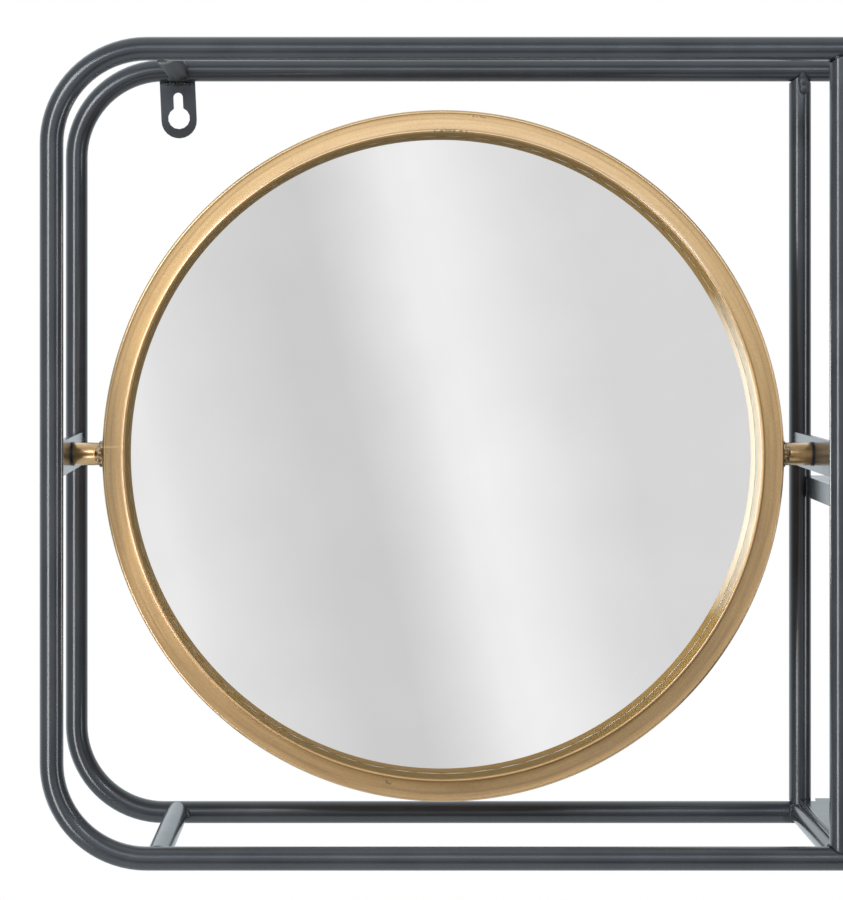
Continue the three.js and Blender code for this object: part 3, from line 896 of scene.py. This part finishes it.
# %% Ring
RING_STEPS = 256
ring_section = [
    (178, 15),
    *corner(176.8, -13.8, 0),
    (176.3, -14.9),
    (175.9, -14.82),
    (174.6, -14.86),
    (173.4, -14.76),
    (172.6, -14.8),
    (170.8, -14.74),
    (169.2, -14.82),
    (168.1, -14.82),
    (167.7, -14.9),
    *corner(167.2, -13.8, 90),
    (166, 3.6),
    (167.4, 3.6),
    (167.5, -12.6),
    (168.4, -13.4),
    (175.4, -13.4),
    (176.5, -12.4),
    (176.5, 15),
]
first_radius, first_y = ring_section[0]
ring = begin(bpy.ops.mesh.primitive_plane_add, size=1 * MM, location=(first_radius * MM, first_y * MM, 0))
bpy.ops.mesh.merge(type="CENTER")
for (radius, y), (next_radius, next_y) in zip(ring_section, ring_section[1:] + ring_section[:1]):
    step = ((next_radius - radius) * MM, (next_y - y) * MM, 0)
    bpy.ops.mesh.extrude_vertices_move(TRANSFORM_OT_translate={"value": step})
bpy.ops.mesh.select_all(action="SELECT")
bpy.ops.mesh.remove_doubles(threshold=0.001 * MM)
bpy.ops.mesh.select_all(action="SELECT")
bpy.ops.mesh.spin(steps=RING_STEPS, angle=2 * math.pi, center=(0, 0, 0), axis=(0, 1, 0))
bpy.ops.mesh.select_all(action="SELECT")
bpy.ops.transform.resize(value=(1, 1, ring_oval), center_override=(0, 0, 0))
face_outwards()
settle(ring)
ring.location = pivot
ring.rotation_euler = (-rest_tilt, 0, 0)
complete(ring, "ring_lacquered", "mirror", gold_lacquer, ["mirror_ring"], smooth=50)

# %% [markdown]
# ## Stubs
# The mirror turns on two short rods welded to the ring. Each is turned bar: a chamfered end against the
# washer, a deep screw hole inside, and a foot that flares where the weld ran up it.

# %% Pivot stubs
stub_reach = 0.2 * MM  # the end stands this much nearer to the washer
chamfer_length, chamfer_taper = 0.15 * MM, 0.98
hole_rim, hole_depth = 2.6 * MM, 11 * MM
for side, sign in (("left", -1), ("right", 1)):
    node = "pivot_stub_" + side
    low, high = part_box(node)
    ends = sorted((low.x, high.x), key=lambda x: abs(x - pivot.x))
    stub = begin(
        bpy.ops.mesh.primitive_circle_add,
        vertices=TUBE_SIDES,
        radius=(high.z - low.z) / 2,
        location=(ends[0], pivot.y, pivot.z),
        rotation=(0, math.pi / 2, 0),
        fill_type="NGON",
    )
    length = ends[1] - ends[0] + stub_reach * sign
    chamfer = chamfer_length * sign
    grow(length - chamfer, 0, 0)
    grow(chamfer, 0, 0)
    end = (ends[0] + length, pivot.y, pivot.z)
    bpy.ops.transform.resize(value=(1, chamfer_taper, chamfer_taper), center_override=end)
    bpy.ops.mesh.inset(thickness=hole_rim)
    grow(-hole_depth * sign, 0, 0)
    face_outwards()
    complete(stub, node + "_turned", "mirror", gold_lacquer, [node])
    print(node, "length", round(abs(length) / MM, 2), "mm")

# %% [markdown]
# ## Sheet and bar pieces
# The shelves, hangers, pivot bars, clips and screws already have their true outline as solids. A merged
# copy of each gets the small round that a press, a file or a coat of paint leaves on every edge.


# %% Rounded copies
def rounded_copy(node, name, finish, width):
    """Copy a node's mesh, merge its loose triangles, and round its sharp edges."""
    bpy.ops.object.select_all(action="DESELECT")
    piece = bpy.data.objects.new(name, nodes[node].data.copy())
    bpy.context.scene.collection.objects.link(piece)
    piece.select_set(True)
    bpy.context.view_layer.objects.active = piece
    bpy.ops.mesh.customdata_custom_splitnormals_clear()
    bpy.ops.object.mode_set(mode="EDIT")
    bpy.ops.mesh.select_all(action="SELECT")
    bpy.ops.mesh.remove_doubles(threshold=0.002 * MM)
    bpy.ops.mesh.dissolve_limited(angle_limit=math.radians(0.5))
    modify(piece, "BEVEL", width=width * MM, segments=2, limit_method="ANGLE", angle_limit=SHARP)
    body = nodes[node]["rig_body"]
    complete(piece, name, body, finish, [node])
    modify(piece, "WEIGHTED_NORMAL", keep_sharp=True, weight=100)


SHARP = math.radians(50)  # edges that turn more than this are rounded
# The last value is the width of the rounded edge, in millimetres.
copies = [
    ("middle_shelf", slate_enamel, 0.35),
    ("bottom_shelf", slate_enamel, 0.35),
    ("hanger_left", slate_enamel, 0.3),
    ("hanger_right", slate_enamel, 0.3),
    ("pivot_bar_left", slate_enamel, 0.5),
    ("pivot_bar_right", slate_enamel, 0.5),
    ("friction_washer_left", nylon, 0.2),
    ("friction_washer_right", nylon, 0.2),
    ("spring_washer_left", zinc, 0.2),
    ("spring_washer_right", zinc, 0.2),
    ("pivot_screw_left", zinc, 0.25),
    ("pivot_screw_right", zinc, 0.25),
    ("backing_board", board_brown, 0.2),
    ("glazing_tape", foam, 0.1),
    *[(f"board_clip_{n}", zinc, 0.15) for n in range(1, 7)],
    *[(f"clip_screw_{n}", zinc, 0.15) for n in range(1, 7)],
]
for node, finish, width in copies:
    rounded_copy(node, node + "_dressed", finish, width)
print("copies:", len(copies))

# %% [markdown]
# The bottom shelf's left edge is hemmed: the sheet is doubled back on itself, which stiffens it and
# leaves a bright fold and a dark crease along the edge. A thin strip with rounded edges lies on the sheet
# for it.

# %% Hem of the bottom shelf
shelf_low, shelf_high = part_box("bottom_shelf")
hem_width, hem_lift = 2.2 * MM, 0.7 * MM
hem_inset = 0.6 * MM  # in from the sheet's left edge
hem_clearance = 14 * MM  # both ends together stop this short of the sheet's depth
hem_length = shelf_high.y - shelf_low.y - hem_clearance
hem = begin(
    bpy.ops.mesh.primitive_cube_add,
    size=1,
    location=(shelf_low.x + hem_inset + hem_width / 2, (shelf_low.y + shelf_high.y) / 2, shelf_high.z),
    scale=(hem_width, hem_length, 2 * hem_lift),
)
settle(hem)
modify(hem, "BEVEL", width=0.5 * MM, segments=3, limit_method="ANGLE", angle_limit=SHARP)
complete(hem, "bottom_shelf_hem", "rack", slate_enamel)
print("hem", [round(v / MM, 2) for v in hem.dimensions], "mm")

# %% [markdown]
# ## Weld beads
# Every joint is a hand-laid weld, painted over: a lumpy row of drops that ran into each other. Round
# drops are laid along the joint, melted into one skin by a voxel remesh, and roughened with a cloud
# texture.

# %% Helpers for welds
import random

ripple = bpy.data.textures.new("weld_ripple", "CLOUDS")
ripple.noise_scale = 2.4 * MM
ripple.noise_depth = 2


def lay_weld(name, body, finish, drops, rough=0.2):
    """Melt drops, each a place and a radius along X, Y and Z, into one lumpy bead."""
    bead = None
    for place, radii in drops:
        shape = dict(subdivisions=3, radius=1, location=place, scale=radii)
        if bead:
            bpy.ops.mesh.primitive_ico_sphere_add(**shape)
        else:
            bead = begin(bpy.ops.mesh.primitive_ico_sphere_add, **shape)
    settle(bead)
    modify(bead, "REMESH", mode="VOXEL", voxel_size=0.35 * MM)
    modify(bead, "SMOOTH", factor=0.5, iterations=8)
    modify(bead, "DISPLACE", texture=ripple, texture_coords="GLOBAL", strength=rough * MM, mid_level=0.6)
    complete(bead, name, body, finish, smooth=80)


def saddle_drops(centre, axis, towards, first, last, size, count, seed):
    """Drops along the joint where a tube along Y or Z meets a rail, between two angles round the tube."""
    dice = random.Random(seed)
    drops = []
    for step in range(count):
        angle = math.radians(first + (last - first) * step / max(count - 1, 1))
        side, cross = tube_radius * math.cos(angle), tube_radius * math.sin(angle)
        reach = towards * math.sqrt(max(tube_radius**2 - cross**2, 0))
        offset = Vector((side, reach, cross)) if axis == "Y" else Vector((side, cross, reach))
        radius = size * MM * dice.uniform(0.75, 1.2)
        drops.append((Vector(centre) + offset, (radius, radius * dice.uniform(0.8, 1.1), radius)))
    return drops


print("ripple", round(ripple.noise_scale / MM, 2), "mm")

# %% [markdown]
# ## Welds of the cross tubes and uprights
# A cross tube meets its rail in a saddle, a curve that bends in and out. The drops follow it, placed by
# their angle round the tube, and only over the arc where the welder laid the bead. Random sizes come from
# a seed.

# %% Welds of the cross tubes
# Name of the weld and of its tube, the end's Y and Z, which way the bead lies along Y, first and last
# angle in degrees, size in millimetres, number of drops, and seed.
cross_welds = [
    ("top_left_front", "top_left", front_y, top_z, 1, -150, -30, 1.2, 9, 4),
    ("bottom_left_rear", "bottom_left", rear_y, bottom_z, -1, -40, 20, 1.2, 7, 5),
    ("bottom_left_front", "bottom_left", front_y, bottom_z, 1, 150, 210, 1.2, 6, 6),
    ("top_right_rear", "top_right", rear_y, top_z, -1, -190, 10, 1.5, 12, 7),
    ("top_right_front", "top_right", front_y, top_z, 1, -150, -30, 1.2, 9, 8),
    ("bottom_right_rear", "bottom_right", rear_y, bottom_z, -1, 150, 205, 1.4, 7, 9),
    ("bottom_right_front", "bottom_right", front_y, bottom_z, 1, -30, 30, 1.2, 6, 10),
    ("bottom_middle_rear", "bottom_middle", rear_y, bottom_z, -1, 140, 220, 1.4, 8, 11),
    ("bottom_middle_front", "bottom_middle", front_y, bottom_z, 1, 150, 210, 1.2, 6, 12),
]
for name, tube, y, z, towards, first, last, size, count, seed in cross_welds:
    centre = (middle_of("cross_tube_" + tube).x, y, z)
    drops = saddle_drops(centre, "Y", towards, first, last, size, count, seed)
    lay_weld("weld_" + name, "rack", slate_enamel, drops)
print("welds of the cross tubes:", len(cross_welds))

# %% [markdown]
# The beads that face the room are drawn drop by drop, as they are large and each has its own shape. Each
# row is a place from the top of the rear upright and three radii, all in millimetres.

# %% Welds of the uprights
upright_beads = {
    "weld_rear_upright_top": [
        ((0.6, -6.1, -3.4), (2.0, 1.4, 2.4)),
        ((0.9, -6.4, -6.4), (3.2, 1.9, 3.4)),
        ((1.2, -6.2, -10.2), (2.9, 1.8, 3.2)),
    ],
    "weld_top_left_rear": [
        ((-346.6, -5.0, 2.6), (2.8, 1.7, 2.6)),
        ((-342.2, -5.2, -1.6), (3.6, 2.2, 3.4)),
        ((-338.6, -4.8, -3.4), (2.6, 1.8, 2.8)),
        ((-345.4, -4.6, -4.0), (2.6, 1.6, 2.4)),
    ],
    "weld_front_upright_top_face": [
        ((3.6, -130.9, -1.8), (2.2, 1.9, 2.4)),
        ((4.2, -131.2, -5.4), (1.8, 1.6, 1.8)),
        ((-2.6, -131.6, -4.6), (1.6, 1.5, 1.5)),
    ],
    "weld_front_upright_bottom_face": [
        ((1.4, -132.1, -402.4), (2.2, 1.7, 2.2)),
        ((2.4, -132.2, -405.2), (2.6, 1.6, 2.6)),
    ],
    "weld_rear_upright_top_back": [
        ((-0.5, 4.2, -3.0), (2.6, 1.4, 3.0)),
        ((0.8, 4.2, -6.0), (2.4, 1.4, 2.2)),
    ],
}
corner_point = Vector((upright_x, rear_y, top_z))
for name, lumps in upright_beads.items():
    drops = [(corner_point + Vector(at) * MM, Vector(radii) * MM) for at, radii in lumps]
    lay_weld(name, "rack", slate_enamel, drops)

# The other ends of the uprights: name, Y and Z, which way the bead lies, both angles, and seed.
upright_size, upright_count = 1.5, 9
upright_welds = [
    ("weld_front_upright_top", front_y, top_z, -1, 20, 160, 21),
    ("weld_front_upright_bottom", front_y, bottom_z, 1, 20, 160, 22),
    ("weld_rear_upright_bottom", rear_y, bottom_z, 1, -130, -50, 23),
]
for name, y, z, towards, first, last, seed in upright_welds:
    centre = (upright_x, y, z)
    drops = saddle_drops(centre, "Z", towards, first, last, upright_size, upright_count, seed)
    lay_weld(name, "rack", slate_enamel, drops)
print("welds of the uprights:", len(upright_beads) + len(upright_welds))

# %% [markdown]
# ## Welds of the hangers and pivot bars
# A hanger is welded along its top edge under the rear rail, and a pivot bar down both of its ends. These
# are short straight rows of drops, each shifted and sized a little by the dice.

# %% Welds of hangers and pivot bars
HANGER_DROPS, BAR_DROPS = 9, 7
DROP_SPACING = 2.0 * MM
for side in ("left", "right"):
    low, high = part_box("hanger_" + side)
    top = (low.x + high.x) / 2
    dice = random.Random(31 if side == "left" else 32)
    drops = []
    for step in range(HANGER_DROPS):
        x = top + (step - HANGER_DROPS // 2) * DROP_SPACING
        radius = dice.uniform(0.9, 1.5) * MM
        z = top_z - tube_radius - dice.uniform(0.2, 1.2) * MM
        drops.append((Vector((x, low.y - 0.3 * MM, z)), (radius,) * 3))
    lay_weld(f"weld_hanger_{side}", "rack", slate_enamel, drops)
    low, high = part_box("pivot_bar_" + side)
    x = (low.x + high.x) / 2
    for end, y in (("rear", high.y), ("front", low.y)):
        drops = []
        for step in range(BAR_DROPS):
            z = low.z + (high.z - low.z) * (0.1 + 0.8 * step / (BAR_DROPS - 1))
            radius = dice.uniform(0.8, 1.3) * MM
            spot = Vector((x + dice.uniform(-1, 1) * MM, y, z))
            drops.append((spot, (radius * 1.2, radius, radius * 1.3)))
        lay_weld(f"weld_bar_{side}_{end}", "rack", slate_enamel, drops)
print("hangers and bars welded")

# %% [markdown]
# ## Welds between the stubs and the ring
# Each stub has a bead right round its foot, one large nugget in front where the welder stopped, and a
# flare above and below where the metal ran up the ring. They are painted with the ring, so they take its
# lacquer.

# %% Welds of the stubs
BEAD_DROPS = 24
for side, sign in (("left", -1), ("right", 1)):
    low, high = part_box("pivot_stub_" + side)
    root = low.x if sign > 0 else high.x
    radius = (high.z - low.z) / 2
    dice = random.Random(41 if side == "left" else 42)
    drops = []
    for step in range(BEAD_DROPS):
        angle = 2 * math.pi * step / BEAD_DROPS
        big = dice.uniform(0.9, 1.15) * MM
        across = radius + dice.uniform(-0.1, 0.4) * MM
        out = sign * dice.uniform(-0.4, 0.5) * MM
        spot = Vector((root + out, pivot.y + across * math.cos(angle), pivot.z + across * math.sin(angle)))
        drops.append((spot, (big * 1.3, big, big)))
    nugget = Vector((root + sign * 1.9 * MM, pivot.y - radius * 0.94, pivot.z + 0.6 * MM))
    drops.append((nugget, (2.7 * MM, 2.7 * MM, 3.1 * MM)))
    drops.append((nugget + Vector((sign * 0.6, 0.5, -3.4)) * MM, (1.6 * MM, 1.6 * MM, 1.8 * MM)))
    for up in (-1, 1):
        flare = Vector((root + sign * 0.6 * MM, pivot.y - 0.5 * MM, pivot.z + up * (radius + 0.2 * MM)))
        drops.append((flare, (2.0 * MM, 3.0 * MM, 0.9 * MM)))
    lay_weld(f"weld_stub_{side}", "mirror", gold_lacquer, drops, rough=0.15)
print("all welds laid")

# %% [markdown]
# ## The glass
# The mirror's pane is flat and its solid is already exact, so it only takes its finish.

# %% Finish of the glass
pane = nodes["mirror_glass"]
pane.data.materials.clear()
pane.data.materials.append(mirror_silver)
print("pane", [round(v / MM, 1) for v in pane.dimensions], "mm")
